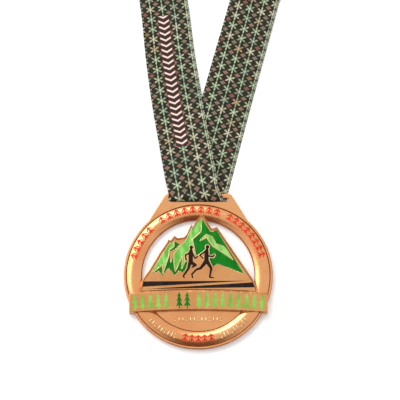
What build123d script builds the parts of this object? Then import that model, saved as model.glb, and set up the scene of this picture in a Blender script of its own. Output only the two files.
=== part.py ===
"""A finisher's medal on its neck ribbon, lying face up.

The medal is a cast ring with a slotted tab, and two plates seat on it: a mountain and a curved banner.
Coloured enamel fills cells sunk in all three. The ribbon goes round the tab's bar, and what is left of
its loop is folded in two flat stacks. The origin is the ring's centre on the medal's back, +Y points to
the tab and +Z up, out of the face. Sizes are in millimetres and angles in degrees.
"""

from build123d import *
import math
import os

# Ring: a domed band inside a flat rim, level with the tab's face
RING_RADIUS = 37.3
BAND_WIDTH = 9.1
RIM_WIDTH = 1.4
DOME_RISE = 0.4
DOME_DROP = 0.45
EDGE_ROUND = 0.4

# Tab and its bar
TAB_REACH = 4.35
TAB_CORNER = 2.0
TAB_THICKNESS = 2.0
TAB_SIDE_WALL = 1.1
TAB_FOOT_ANGLE = 47.2
TAB_FOOT_INSET = 0.8
BAR_HEIGHT = 2.3
SLOT_HEIGHT = 2.1
SLOT_PLAY = 5.6
SLOT_BEVEL = 0.25

# Solid floor under the banner
FLOOR_HEIGHT = 2.5

# Mountain plate: its outlines are drawn for this window radius and follow the real one
DRAWN_WINDOW = 28.2
PLATE_RISE = 0.8
CELL_DEPTH = 0.8
CELL_WALL = 0.3
ENAMEL_SETBACK = 0.06

# Banner plate: a curved bar across the ring
BANNER_RISE = 0.7
BANNER_WIDTH = 9.75
BANNER_END_INSET = 2.8
BANNER_CURVE = 400.0
BANNER_ROUND = 0.35

# Fir marks on the banner, by group: how many and where the group's middle is, in marks from the middle
FIR_MARGIN = 0.75
FIR_GAP = 0.5
FIR_TIERS = 3
FIR_SPACES = 17.5
FIR_GROUPS = {"west": (5, -6.05), "middle": (2, -1.9), "east": (9, 4.08)}

# Red marks round the ring, by group: how many, the middle's angle from the top and the pitch
ARC_MARK_WIDTH = 3.1
ARC_MARK_HEIGHT = 4.4
ARC_MARK_MARGIN = 0.4
ARC_MARK_STROKE = 0.85
ARC_MARK_DEPTH = 0.7
ARC_GROUPS = {"west": (5, 60.0, 6.6), "top": (8, 8.3, 7.1), "east": (8, -50.0, 6.2)}
LOWER_MARK_COUNT = 5
LOWER_MARK_PITCH = 5.8
LOWER_MARK_SCALE = 0.95

# Raised beads cast on the ring and on its floor
BEAD_HEIGHT = 0.25
BEAD_LENGTH = 3.2
BEAD_WIDTH = 0.7
BEAD_COUNT = 9
BEAD_PITCH = 3.2
BEAD_FIRST = 20.5
FLOOR_BEAD_COUNT = 13
FLOOR_BEAD_PITCH = 1.9
FLOOR_BEAD_LENGTH = 2.6
FLOOR_BEAD_INSET = 6.0

# Ribbon
RIBBON_WIDTH = 25.0
RIBBON_THICKNESS = 0.6
TURN_CLEARANCE = 0.1
SURFACE = 0.08
FRONT_LEAN = 8.8
BACK_LEAN = -15.1
FRONT_SHIFT = -1.85
BACK_SHIFT = 1.13
STRAP_LENGTH = 110.0
PANEL_LENGTH = 80.0
PANEL_COUNT = 3
PANEL_GAP = 0.25
LAP_CLEARANCE = 0.1
CROSSING_SLOPE = 10.0
SEAM_LENGTH = 12.0
STITCH_HEIGHT = 0.15
STITCH_WIDTH = 0.5
STITCH_INSET = 3.0

# Worked-out heights: the back strap lies between the bar and the surface
TURN_INNER = math.hypot(BAR_HEIGHT / 2, TAB_THICKNESS / 2) + TURN_CLEARANCE
TURN_OUTER = TURN_INNER + RIBBON_THICKNESS
BAR_Z = SURFACE + TURN_OUTER
TAB_BACK = BAR_Z - TAB_THICKNESS / 2
RIM_HEIGHT = BAR_Z + TAB_THICKNESS / 2
DOME_HEIGHT = RIM_HEIGHT + DOME_RISE
DOME_EDGE_HEIGHT = RIM_HEIGHT - DOME_DROP
PLATE_TOP = DOME_HEIGHT + PLATE_RISE
BANNER_TOP = PLATE_TOP + BANNER_RISE

# Worked-out places
WINDOW_RADIUS = RING_RADIUS - BAND_WIDTH
GROOVE_RADIUS = RING_RADIUS - RIM_WIDTH
DOME_MIDDLE = (WINDOW_RADIUS + GROOVE_RADIUS) / 2
DRAWING_SCALE = WINDOW_RADIUS / DRAWN_WINDOW
FLOOR_TOP = -12.0 * DRAWING_SCALE
BANNER_CROWN = -8.0 * DRAWING_SCALE
BANNER_HALF_LENGTH = RING_RADIUS - BANNER_END_INSET
TAB_TOP = RING_RADIUS + TAB_REACH
SLOT_TOP = TAB_TOP - BAR_HEIGHT
SLOT_LENGTH = RIBBON_WIDTH + SLOT_PLAY
BAR_Y = TAB_TOP - BAR_HEIGHT / 2
ARC_MARK_MIDDLE = GROOVE_RADIUS - ARC_MARK_MARGIN - ARC_MARK_HEIGHT / 2
FIR_PITCH = 2 * BANNER_HALF_LENGTH / FIR_SPACES
FIR_WIDTH = FIR_PITCH - FIR_GAP
FIR_HEIGHT = BANNER_WIDTH - 2 * FIR_MARGIN
STACK_HEIGHT = PANEL_COUNT * RIBBON_THICKNESS + (PANEL_COUNT - 1) * PANEL_GAP
TALL = 20.0


def outline(points):
    """A closed face through the points, in order."""
    return make_face(Polyline(*points, close=True))


def drawn(face):
    """A drawn face at the real window's size."""
    return scale(face, DRAWING_SCALE)


def prism(face, low, high):
    """The face carried straight up from low to high."""
    return extrude(Pos(0, 0, low) * face, high - low)


def limb(start, end, start_radius, end_radius):
    """A flat tapered bar with round ends."""
    ends = Pos(*start) * Circle(start_radius) + Pos(*end) * Circle(end_radius)
    return make_hull(ends.edges())


def joined_limbs(path, radii):
    """Limbs along a path, one after the other."""
    shape = limb(path[0], path[1], radii[0], radii[1])
    for index in range(1, len(path) - 1):
        shape += limb(path[index], path[index + 1], radii[index], radii[index + 1])
    return shape


# ---- Ring, tab and floor ----


def ring_blank(lift=0.0):
    """The ring's turned section: inner wall, dome, groove and rim."""
    inner_wall = Line((WINDOW_RADIUS, lift), (WINDOW_RADIUS, DOME_EDGE_HEIGHT - EDGE_ROUND + lift))
    lip = (WINDOW_RADIUS + EDGE_ROUND, DOME_EDGE_HEIGHT + lift)
    inner_bevel = Line(inner_wall @ 1, lip)
    crown = (DOME_MIDDLE, DOME_HEIGHT + lift)
    dome = ThreePointArc(lip, crown, (GROOVE_RADIUS, DOME_EDGE_HEIGHT + lift))
    step = Line(dome @ 1, (GROOVE_RADIUS + EDGE_ROUND / 2, RIM_HEIGHT + lift))
    rim = Line(step @ 1, (RING_RADIUS - EDGE_ROUND, RIM_HEIGHT + lift))
    rim_round = RadiusArc(rim @ 1, (RING_RADIUS, RIM_HEIGHT - EDGE_ROUND + lift), EDGE_ROUND)
    outer_wall = Line(rim_round @ 1, (RING_RADIUS, EDGE_ROUND + lift))
    back_bevel = Line(outer_wall @ 1, (RING_RADIUS - EDGE_ROUND, lift))
    back = Line(back_bevel @ 1, inner_wall @ 0)
    section = make_face(
        [inner_wall, inner_bevel, dome, step, rim, rim_round, outer_wall, back_bevel, back]
    )
    return revolve(Plane.XZ * section, Axis.Z)


def tab_blank():
    """The tab, with its foot on the ring's rim."""
    half_top = SLOT_LENGTH / 2 + TAB_SIDE_WALL
    foot_radius = RING_RADIUS - TAB_FOOT_INSET
    foot_x = foot_radius * math.sin(math.radians(TAB_FOOT_ANGLE))
    foot_y = foot_radius * math.cos(math.radians(TAB_FOOT_ANGLE))
    face = outline([(-foot_x, foot_y), (-half_top, TAB_TOP), (half_top, TAB_TOP), (foot_x, foot_y)])
    top_corners = face.vertices().sort_by(Axis.Y)[-2:]
    face = fillet(top_corners, TAB_CORNER)
    tab = prism(face, TAB_BACK, RIM_HEIGHT)
    flat_edges = tab.edges().filter_by(Axis.Z, reverse=True)
    free_edges = flat_edges.filter_by(lambda edge: edge.center().Y > foot_y + EDGE_ROUND)
    tab = fillet(free_edges, EDGE_ROUND)
    return tab - Cylinder(GROOVE_RADIUS + EDGE_ROUND / 2, TALL)


def slot_tool():
    """The slot's cutter, flared at the bar's two edges."""
    low = SLOT_TOP - SLOT_HEIGHT
    section = outline(
        [
            (low, TAB_BACK - TALL),
            (SLOT_TOP + SLOT_BEVEL, TAB_BACK - TALL),
            (SLOT_TOP + SLOT_BEVEL, TAB_BACK),
            (SLOT_TOP, TAB_BACK + SLOT_BEVEL),
            (SLOT_TOP, RIM_HEIGHT - SLOT_BEVEL),
            (SLOT_TOP + SLOT_BEVEL, RIM_HEIGHT),
            (SLOT_TOP + SLOT_BEVEL, RIM_HEIGHT + TALL),
            (low, RIM_HEIGHT + TALL),
        ]
    )
    return extrude(Plane.YZ * section, SLOT_LENGTH / 2, both=True)


def floor_blank():
    """The solid segment that closes the lower part of the window."""
    disc = Circle(WINDOW_RADIUS)
    below = Pos(0, FLOOR_TOP - WINDOW_RADIUS) * Rectangle(2 * WINDOW_RADIUS, 2 * WINDOW_RADIUS)
    return prism(disc & below, 0, FLOOR_HEIGHT)


def around(angle, radius):
    """A place on the ring, turned so that its own +Y points outward."""
    return Rot(0, 0, angle) * Pos(0, radius, 0)


def ring_beads():
    """Raised beads on the lower part of the ring, left and right."""
    raised = ring_blank(BEAD_HEIGHT)
    beads = []
    for side in (-1, 1):
        for index in range(BEAD_COUNT):
            angle = 180 + side * (BEAD_FIRST + BEAD_PITCH * index)
            face = around(angle, DOME_MIDDLE + BEAD_WIDTH) * SlotOverall(BEAD_LENGTH, BEAD_WIDTH, rotation=90)
            beads.append(prism(face, FLOOR_HEIGHT, TALL) & raised)
    return beads


def floor_beads():
    """A row of raised beads on the floor."""
    beads = []
    for index in range(FLOOR_BEAD_COUNT):
        x = (index - (FLOOR_BEAD_COUNT - 1) / 2) * FLOOR_BEAD_PITCH
        face = Pos(x, FLOOR_BEAD_INSET - WINDOW_RADIUS) * SlotOverall(FLOOR_BEAD_LENGTH, BEAD_WIDTH, rotation=90)
        beads.append(prism(face, FLOOR_HEIGHT, FLOOR_HEIGHT + BEAD_HEIGHT))
    return beads


def feather_face(scale=1.0):
    """A stem with two chevrons, pointing along +Y."""
    half = ARC_MARK_WIDTH / 2 * scale
    height = ARC_MARK_HEIGHT * scale
    stroke = ARC_MARK_STROKE * scale
    face = Rectangle(stroke, height - stroke)
    for top in (height / 2, height / 2 - 2.2 * stroke):
        face += outline(
            [
                (0, top),
                (half, top - half),
                (half, top - half - stroke),
                (0, top - stroke * 1.2),
                (-half, top - half - stroke),
                (-half, top - half),
            ]
        )
    return face


def mark_angles(count, middle, pitch):
    """Angles of a group of marks, evenly spaced round its middle."""
    return [middle + pitch * ((count - 1) / 2 - index) for index in range(count)]


def arc_mark_tools():
    """Cutters of the red marks, by node name."""
    tools = {}
    for group, (count, middle, pitch) in ARC_GROUPS.items():
        for index, angle in enumerate(mark_angles(count, middle, pitch), 1):
            face = around(angle, ARC_MARK_MIDDLE) * feather_face()
            tools[f"arc_mark_{group}_{index}"] = prism(face, DOME_HEIGHT - ARC_MARK_DEPTH * 2, TALL)
    return tools


def lower_mark_tools():
    """Cutters of the small red marks at the bottom of the ring."""
    tools = []
    for angle in mark_angles(LOWER_MARK_COUNT, 180.0, LOWER_MARK_PITCH):
        face = around(angle, DOME_MIDDLE) * Rot(0, 0, 180) * feather_face(LOWER_MARK_SCALE)
        tools.append(prism(face, DOME_HEIGHT - ARC_MARK_DEPTH * 2, TALL))
    return tools


# ---- Mountain plate ----

MOUNTAIN = [
    (-28.9, -12.0),
    (-28.65, -6.6),
    (-28.0, -3.1),
    (-24.15, 2.5),
    (-19.15, 11.0),
    (-15.65, 16.1),
    (-14.95, 17.75),
    (-13.7, 17.25),
    (-11.95, 19.8),
    (-10.5, 18.4),
    (-7.0, 18.9),
    (-5.65, 20.5),
    (-3.5, 25.4),
    (-2.8, 24.2),
    (1.75, 30.9),
    (6.75, 23.2),
    (9.3, 24.1),
    (27.0, -2.25),
    (29.0, -6.6),
    (29.3, -12.0),
]

LIGHT_FIELDS = {
    "west": [
        (-15.0, 15.5),
        (-12.3, 17.4),
        (-12.2, 14.5),
        (-14.6, 12.4),
        (-14.85, 9.3),
        (-17.75, 0.7),
        (-18.0, 4.9),
        (-24.2, 0.1),
    ],
    "main": [
        (1.75, 29.1),
        (-3.9, 23.0),
        (-6.3, 17.6),
        (-10.8, 12.9),
        (-12.45, 10.5),
        (-12.2, 6.0),
        (-11.5, 1.8),
        (-8.0, 9.2),
        (-8.3, 3.1),
        (-6.5, 7.0),
        (-5.4, 7.5),
        (-1.5, 9.8),
        (-3.0, 18.1),
        (1.3, 21.8),
    ],
    "ridge": [
        (0.9, 17.3),
        (4.1, 20.5),
        (6.8, 19.4),
        (8.9, 15.7),
        (12.6, 14.4),
        (14.6, 12.2),
        (17.3, 7.6),
        (12.1, 11.2),
        (7.3, 14.4),
        (5.3, 17.1),
        (4.2, 18.8),
    ],
}

DARK_FIELDS = {
    "west": [
        (-12.2, 17.4),
        (-8.9, 15.5),
        (-11.2, 12.9),
        (-14.3, 11.0),
        (-14.6, 12.4),
        (-12.2, 14.5),
    ],
    "valley": [
        (-24.4, -0.45),
        (-18.0, 4.9),
        (-17.75, 0.7),
        (-14.85, 9.3),
        (-14.75, 10.8),
        (-13.95, 10.8),
        (-13.8, 6.3),
        (-12.6, 10.0),
        (-12.2, 6.0),
        (-11.5, 1.8),
        (-8.0, 9.2),
        (-8.3, 3.1),
        (-6.5, 7.0),
        (-5.4, 7.5),
        (-4.4, 4.0),
        (-7.7, 0.85),
        (-9.65, 1.8),
        (-11.8, -0.6),
        (-14.85, 3.0),
        (-17.95, -0.8),
        (-19.8, 1.6),
    ],
    "main": [
        (1.75, 29.1),
        (6.1, 22.2),
        (7.0, 21.9),
        (9.0, 23.3),
        (23.3, 0.1),
        (9.7, 5.3),
        (7.4, 3.7),
        (5.2, 7.5),
        (2.0, 9.6),
        (-1.3, 9.8),
        (-3.0, 18.1),
        (1.3, 21.8),
    ],
}


def rear_runner(grow=0.0):
    """The runner on the left: head, body, two arms and two legs."""
    figure = Pos(-3.5, 13.85) * Circle(0.85 + grow)
    limbs = [
        ([(-3.55, 13.0), (-3.75, 11.1), (-3.8, 6.4)], [0.5, 1.15, 1.05]),
        ([(-4.4, 11.0), (-6.4, 10.0), (-6.1, 7.4)], [0.4, 0.38, 0.34]),
        ([(-2.9, 10.8), (-1.6, 8.3), (-0.3, 9.2)], [0.4, 0.36, 0.3]),
        ([(-3.6, 6.2), (-1.4, 4.9), (-2.9, 3.9)], [0.95, 0.65, 0.45]),
        ([(-4.2, 6.0), (-4.9, 3.2), (-7.5, -0.7), (-7.0, -1.5)], [0.9, 0.62, 0.42, 0.3]),
    ]
    for path, radii in limbs:
        figure += joined_limbs(path, [radius + grow for radius in radii])
    return figure


def lead_runner(grow=0.0):
    """The runner on the right, in full stride."""
    figure = Pos(4.6, 14.1) * Circle(0.9 + grow)
    limbs = [
        ([(4.5, 13.2), (4.1, 11.6), (4.1, 6.6)], [0.5, 1.05, 1.15]),
        ([(3.6, 11.9), (0.8, 9.9), (2.3, 8.3)], [0.45, 0.36, 0.3]),
        ([(4.8, 9.6), (7.3, 9.1), (8.0, 10.0)], [0.4, 0.36, 0.34]),
        ([(3.6, 6.4), (1.2, 3.3), (-0.9, 2.6), (-3.2, 0.2), (-2.8, -1.6)], [1.0, 0.65, 0.5, 0.42, 0.3]),
        ([(4.7, 6.2), (6.5, 3.2), (5.7, -1.2), (7.5, -1.6)], [0.95, 0.6, 0.42, 0.28]),
    ]
    for path, radii in limbs:
        figure += joined_limbs(path, [radius + grow for radius in radii])
    return figure


def road_fields():
    """Two long black wedges that leave a slanting line between them."""
    upper = outline([(-27.4, -3.4), (25.1, -3.05), (-28.1, -6.15)])
    lower = outline([(-27.1, -7.3), (27.1, -3.9), (28.4, -6.4), (0.0, -6.8)])
    return {"road_upper": upper, "road_lower": lower}


def field_faces():
    """Every enamel field of the mountain plate, by node name, with a metal line between fields."""
    lead_cleared = lead_runner(CELL_WALL)
    kept_clear = rear_runner(CELL_WALL) + lead_cleared
    faces = {}
    for name, points in LIGHT_FIELDS.items():
        faces[f"slope_light_{name}"] = offset(outline(points), -CELL_WALL / 2) - kept_clear
    for name, points in DARK_FIELDS.items():
        faces[f"slope_dark_{name}"] = offset(outline(points), -CELL_WALL / 2) - kept_clear
    faces["slope_dark_main"] -= offset(outline(LIGHT_FIELDS["ridge"]), CELL_WALL / 2)
    faces["runner_lead"] = lead_runner()
    faces["runner_rear"] = rear_runner() - lead_cleared
    faces.update(road_fields())
    return {name: drawn(face) for name, face in faces.items()}


def mountain_blank(ring, floor):
    """The mountain plate, seated on the ring and against the floor, with a seat for the banner."""
    body = prism(drawn(outline(MOUNTAIN)), 0, PLATE_TOP)
    body -= prism(banner_face(), DOME_HEIGHT, TALL)
    return body - ring - floor


# ---- Banner plate ----


def banner_face():
    """The curved bar's outline."""
    centre = (0, BANNER_CROWN - BANNER_CURVE)
    bar = Pos(*centre) * (Circle(BANNER_CURVE) - Circle(BANNER_CURVE - BANNER_WIDTH))
    window = Pos(0, BANNER_CROWN - BANNER_WIDTH / 2) * Rectangle(2 * BANNER_HALF_LENGTH, 2 * BANNER_WIDTH)
    return bar & window


def fir_face():
    """A fir: tiers that widen downward, and a short trunk."""
    trunk = FIR_HEIGHT / 8
    tier = (FIR_HEIGHT - trunk) / FIR_TIERS
    face = Pos(0, -FIR_HEIGHT / 2 + trunk / 2 + tier / 4) * Rectangle(FIR_WIDTH / 5, trunk + tier / 2)
    for index in range(FIR_TIERS):
        foot = -FIR_HEIGHT / 2 + trunk + tier * index
        half = FIR_WIDTH / 2 * (1 - 0.16 * index)
        peak = min(foot + tier * 1.6, FIR_HEIGHT / 2)
        face += outline([(-half, foot), (0, peak), (half, foot), (0, foot + tier / 4)])
    return face


def fir_faces():
    """Every fir on the banner, by node name, standing square to its curve."""
    faces = {}
    radius = BANNER_CURVE - BANNER_WIDTH / 2
    for group, (count, middle) in FIR_GROUPS.items():
        for index in range(count):
            along = FIR_PITCH * (middle + index - (count - 1) / 2)
            place = Pos(0, BANNER_CROWN - BANNER_CURVE) * Rot(0, 0, -math.degrees(along / radius))
            faces[f"banner_fir_{group}_{index + 1}"] = place * Pos(0, radius) * fir_face()
    return faces


def banner_blank(ring, floor, mountain):
    """The banner plate, seated over the ring, the floor and the mountain's foot."""
    body = prism(banner_face(), 0, BANNER_TOP)
    top_edges = body.faces().sort_by(Axis.Z)[-1].edges()
    body = fillet(top_edges, BANNER_ROUND)
    return body - ring - floor - mountain


# ---- Ribbon ----


def strap_place(lean, shift):
    """The strap's own frame: +Y along it from the bar's middle."""
    return Pos(shift, BAR_Y, 0) * Rot(0, 0, lean)


def strip(lean, shift, route):
    """A strap that follows a route of (distance from the bar, height of its underside)."""
    lower = [(distance, height) for distance, height in route]
    upper = [(distance, height + RIBBON_THICKNESS) for distance, height in reversed(route)]
    side = Plane.YZ * outline(lower + upper)
    body = extrude(side, RIBBON_WIDTH / 2, both=True)
    beyond_bar = Pos(0, BAR_Y + TALL * 10, 0) * Box(TALL * 20, TALL * 20, TALL * 2)
    return (strap_place(lean, shift) * body) & beyond_bar


def front_strap():
    """From the front of the bar, down over the back strap to the surface."""
    start = BAR_Z + TURN_INNER
    lapped = SURFACE + RIBBON_THICKNESS + LAP_CLEARANCE
    route = [(-5.0, start), (3.0, start), (22.0, start - 1.4), (42.0, lapped + 0.25)]
    route += [(60.0, lapped), (74.0, SURFACE), (STRAP_LENGTH, SURFACE)]
    return strip(FRONT_LEAN, FRONT_SHIFT, route)


def back_strap():
    """From the back of the bar, flat along the surface."""
    return strip(BACK_LEAN, BACK_SHIFT, [(-5.0, SURFACE), (STRAP_LENGTH, SURFACE)])


def slot_turn():
    """The ribbon's turn round the bar, through the slot."""
    round_section = Circle(TURN_OUTER) - Circle(TURN_INNER)
    half = round_section & (Pos(-TURN_OUTER, 0) * Rectangle(2 * TURN_OUTER, 2 * TURN_OUTER))
    middle = (FRONT_SHIFT + BACK_SHIFT) / 2
    return Pos(middle, BAR_Y, BAR_Z) * extrude(Plane.YZ * half, RIBBON_WIDTH / 2, both=True)


def fold_stack(lean, shift):
    """Folded panels lying in line with their strap, with round folds at both ends."""
    face = RectangleRounded(PANEL_LENGTH, STACK_HEIGHT, STACK_HEIGHT / 2.1)
    side = Plane.YZ * Pos(STRAP_LENGTH + PANEL_LENGTH / 2, SURFACE + STACK_HEIGHT / 2) * face
    body = strap_place(lean, shift) * extrude(side, RIBBON_WIDTH / 2, both=True)
    return body - strip(lean, shift, [(-5.0, SURFACE), (STRAP_LENGTH, SURFACE)])


def stack_far_end(lean, shift):
    """Middle of a stack's far end."""
    reach = STRAP_LENGTH + PANEL_LENGTH
    return (strap_place(lean, shift) * Pos(0, reach, 0)).position


def neck_crossing():
    """The ribbon's last panel, laid across the two stacks and sagging between them."""
    left = stack_far_end(FRONT_LEAN, FRONT_SHIFT)
    right = stack_far_end(BACK_LEAN, BACK_SHIFT)
    top = SURFACE + STACK_HEIGHT + LAP_CLEARANCE
    half = RIBBON_WIDTH / 2
    edge = half + RIBBON_WIDTH * math.tan(math.radians(abs(BACK_LEAN))) + LAP_CLEARANCE
    route = [(left.X - half, top), (left.X + edge, top), (left.X + edge + CROSSING_SLOPE, SURFACE)]
    route += [(right.X - edge - CROSSING_SLOPE, SURFACE), (right.X - edge, top), (right.X + half, top)]
    lower = list(route)
    upper = [(x, z + RIBBON_THICKNESS) for x, z in reversed(route)]
    side = Plane.XZ * outline(lower + upper)
    y = (left.Y + right.Y) / 2 - half
    return Pos(0, y, 0) * extrude(side, half, both=True)


def seam_stitching(crossing):
    """A stitched rectangle where the ribbon's two ends lap, on the middle of the crossing."""
    box = crossing.bounding_box()
    middle = box.center()
    width = RIBBON_WIDTH - 2 * STITCH_INSET
    inside = Rectangle(SEAM_LENGTH - 2 * STITCH_WIDTH, width - 2 * STITCH_WIDTH)
    frame = Rectangle(SEAM_LENGTH, width) - inside
    height = SURFACE + RIBBON_THICKNESS
    return prism(Pos(middle.X, middle.Y) * frame, height, height + STITCH_HEIGHT)


# ---- Nodes ----


def medal_nodes():
    """Every solid of the medal, by node name."""
    nodes = {}
    ring = ring_blank()
    floor = floor_blank()
    base = ring + tab_blank() + floor - slot_tool()
    base += ring_beads() + floor_beads()
    for name, tool in arc_mark_tools().items():
        nodes[name] = tool & ring
        base -= tool
    lower_tools = Part() + lower_mark_tools()
    nodes["lower_marks"] = lower_tools & ring
    base -= lower_tools
    mountain = mountain_blank(ring, floor)
    banner = banner_blank(ring, floor, mountain)
    for name, tool in list(nodes.items()):
        nodes[name] = tool - mountain
    for name, face in field_faces().items():
        mountain -= prism(face, PLATE_TOP - CELL_DEPTH, TALL)
        nodes[name] = prism(face, PLATE_TOP - CELL_DEPTH, PLATE_TOP - ENAMEL_SETBACK)
    for name, face in fir_faces().items():
        banner -= prism(face, BANNER_TOP - CELL_DEPTH, TALL)
        nodes[name] = prism(face, BANNER_TOP - CELL_DEPTH, BANNER_TOP - ENAMEL_SETBACK)
    nodes["base_ring"] = base
    nodes["mountain_plate"] = mountain
    nodes["banner_plate"] = banner
    return nodes


def ribbon_nodes():
    """Every solid of the ribbon, by node name."""
    crossing = neck_crossing()
    return {
        "front_strap": front_strap(),
        "back_strap": back_strap(),
        "slot_turn": slot_turn(),
        "left_fold_stack": fold_stack(FRONT_LEAN, FRONT_SHIFT),
        "right_fold_stack": fold_stack(BACK_LEAN, BACK_SHIFT),
        "neck_crossing": crossing,
        "seam_stitching": seam_stitching(crossing),
    }


def main():
    os.makedirs("parts", exist_ok=True)
    for name, shape in {**medal_nodes(), **ribbon_nodes()}.items():
        shape.label = name
        export_step(shape, f"parts/{name}.step")


main()
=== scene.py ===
"""Looks of a finisher's medal lying on its printed neck ribbon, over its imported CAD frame."""

import math

import bmesh
import bpy
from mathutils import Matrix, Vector


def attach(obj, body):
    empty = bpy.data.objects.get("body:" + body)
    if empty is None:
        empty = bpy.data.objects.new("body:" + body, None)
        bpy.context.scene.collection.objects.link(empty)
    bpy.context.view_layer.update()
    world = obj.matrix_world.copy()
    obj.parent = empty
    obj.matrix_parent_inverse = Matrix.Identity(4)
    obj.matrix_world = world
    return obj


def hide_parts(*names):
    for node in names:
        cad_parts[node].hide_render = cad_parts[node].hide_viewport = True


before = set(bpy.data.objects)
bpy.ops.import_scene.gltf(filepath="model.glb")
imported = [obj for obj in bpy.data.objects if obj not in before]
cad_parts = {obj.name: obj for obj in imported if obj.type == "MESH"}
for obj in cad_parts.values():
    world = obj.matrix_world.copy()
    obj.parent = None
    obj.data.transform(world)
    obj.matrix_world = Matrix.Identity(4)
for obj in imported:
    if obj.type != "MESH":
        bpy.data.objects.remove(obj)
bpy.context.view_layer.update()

MM = 0.001

# Camera: nearly overhead, from below the medal's foot
CAMERA_ELEVATION = 78.0
CAMERA_DISTANCE = 1.008
CAMERA_LENS = 180.0
CAMERA_TARGET = Vector((0.00085, 0.03834, 0.0035))

# Metal: its colours, and the ring's brown lines, partly tarnish and partly painted shade in its groove and
# along its window and rim edges, each by its radius in mm, strength and highest y in mm
RING_WARM = (0.71, 0.305, 0.122, 1)
RING_PALE = (0.75, 0.355, 0.15, 1)
PLATE_WARM = (0.6, 0.265, 0.1, 1)
PLATE_PALE = (0.65, 0.32, 0.125, 1)
# The field lines' and beads' copper is paler than the plates': a painted highlight
HIGHLIT_LINE_WARM = (0.78, 0.56, 0.28, 1)
HIGHLIT_LINE_PALE = (0.86, 0.72, 0.42, 1)
# Brown of the ring's lines: tarnish and painted shade
SHADE_AND_TARNISH_BROWN = (0.26, 0.06, 0.02, 1)
# Dark brown of the line just inside the mountain's outline: painted shade
SHADE_LINE_BROWN = (0.13, 0.035, 0.012, 1)
SHADE_LINE_BROWN_PALE = (0.24, 0.075, 0.03, 1)
SHADE_AND_TARNISH_LINES = [(35.95, 0.8, 60.0), (28.35, 0.7, 60.0), (37.2, 0.6, 20.0)]
SHADE_AND_TARNISH_FADE = 4.0

# Enamel: each one's deep and bright colour, its streaks' angle in radians and their softness
LIGHT_GREEN = ((0.11, 0.42, 0.05, 1), (0.29, 0.66, 0.16, 1), 0.6, 0.16)
BANNER_GREEN = ((0.16, 0.42, 0.05, 1), (0.27, 0.58, 0.1, 1), 0.0, 0.15)
DARK_GREEN = ((0.002, 0.13, 0.005, 1), (0.006, 0.21, 0.01, 1), 0.4, 0.2)
BLACK = ((0.01, 0.005, 0.005, 1), (0.024, 0.013, 0.011, 1), 0.2, 0.2)
RED = ((0.55, 0.03, 0.012, 1), (0.7, 0.06, 0.025, 1), 0.3, 0.2)

# Stage: each light's direction, distance and size in metres, and power in watts
FLOOR_SIZE = 6.0
FLOOR_GLOW = 0.16
FLOOR_WHITE = (0.95, 0.95, 0.95, 1)
WINDOW = ((-0.52, 0.42, 0.75), 1.4, (1.2, 0.85), 8.5)
TOP_STRIP = ((-0.23, 0.58, 0.78), 1.4, (0.8, 0.32), 3.0)
ROOM_WHITE = (1.0, 1.0, 1.0, 1)
ROOM_GREY = (0.42, 0.4, 0.39, 1)
ROOM_BROWN = (0.2, 0.1, 0.065, 1)

# Rounded metal lines, in mm
OUTLINE_RADIUS = 0.25
OUTLINE_HEIGHT = 4.36
SHADE_LINE_INSET = 0.55
SHADE_LINE_RADIUS = 0.3
SHADE_LINE_HEIGHT = 4.31
FIELD_LINE_RADIUS = 0.12
FIELD_LINE_HEIGHT = 4.46
SHARPEST_INSET = 0.6

# Beads, in mm and degrees: each group's places, and a bead's length, its short length and its shift
RING_BEADS = 9
RING_BEADS_FROM = 20.5
RING_BEADS_STEP = 3.2
RING_BEADS_RADIUS = 32.75
RING_BEADS_HEIGHT = 3.7
RING_BEAD_LENGTHS = (3.1, 1.2, 0.95)
FLOOR_BEADS = 13
FLOOR_BEADS_STEP = 1.9
FLOOR_BEADS_Y = -22.2
FLOOR_BEADS_HEIGHT = 2.7
FLOOR_BEAD_LENGTHS = (2.6, 1.1, 0.75)
BEAD_WIDTH = 0.75
BEAD_HEIGHT = 0.9

# Bar that the ribbon goes round, in mm
BAR_Y = 40.5
BAR_Z = 2.304
TURN_RADIUS = 1.924
TURN_SLACK = 0.66
TURN_STEPS = 20

# Ribbon: its whole flat length in metres, and the rest in mm
RIBBON_WIDTH = 25.0
RIBBON_THICKNESS = 0.6
SURFACE = 0.08
RESTING = SURFACE + RIBBON_THICKNESS / 2
RIM_SOFTNESS = 0.12
RIM_THINNESS = 0.75
TURN_LEAD = 2.6
TURN_LEAN = math.radians(10.3)
TURN_HALF_WIDTH = 12.9
FRONT_LINE = [(40.5, -1.95), (65.4, -6.4), (91.0, -10.95), (115.0, -14.5), (140.6, -17.5), (228.0, -30.9)]
BACK_LINE = [(40.5, 1.5), (46.0, 2.6), (99.7, 16.9), (140.6, 28.1), (224.0, 50.6)]
FRONT_HEIGHTS = [(0.0, 4.228), (4.0, 4.228), (24.0, 2.95), (44.0, 1.4), (58.0, 1.12), (74.0, RESTING)]
FRONT_HALF_WIDTHS = [(3.0, 12.7), (12.0, 13.1), (40.0, 12.95), (110.0, 12.3)]
BACK_HALF_WIDTHS = [(0.0, 12.95), (60.0, 12.65), (110.0, 12.4)]
STRAP_CURL = 0.5
PULLED_LENGTH = 17.0
PULLED_PRINT = 0.82

# Its put-away length: panels folded in line with each strap, and a crossing that joins them
FRONT_NEAR = 112.5
BACK_NEAR = 109.5
LEFT_FAR_END = (-30.9, 228.3)
RIGHT_FAR_END = (50.6, 223.9)
PANEL_STEP = 0.85
FOLD_ROOM = 0.75
FOLD_STEPS = 8
STACK_CLEAR = 17.5
CROSSING_DROP = 10.0
CROSSING_Y = 213.6
LAP_MIDDLE = 9.85
LAP_HALF = 7.0
LAP_GAP = 0.05
MITRE_ROOM = 0.4
MITRE_SINK = 0.15
ACROSS_STEPS = 10
ROW_STEP = 2.5

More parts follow.
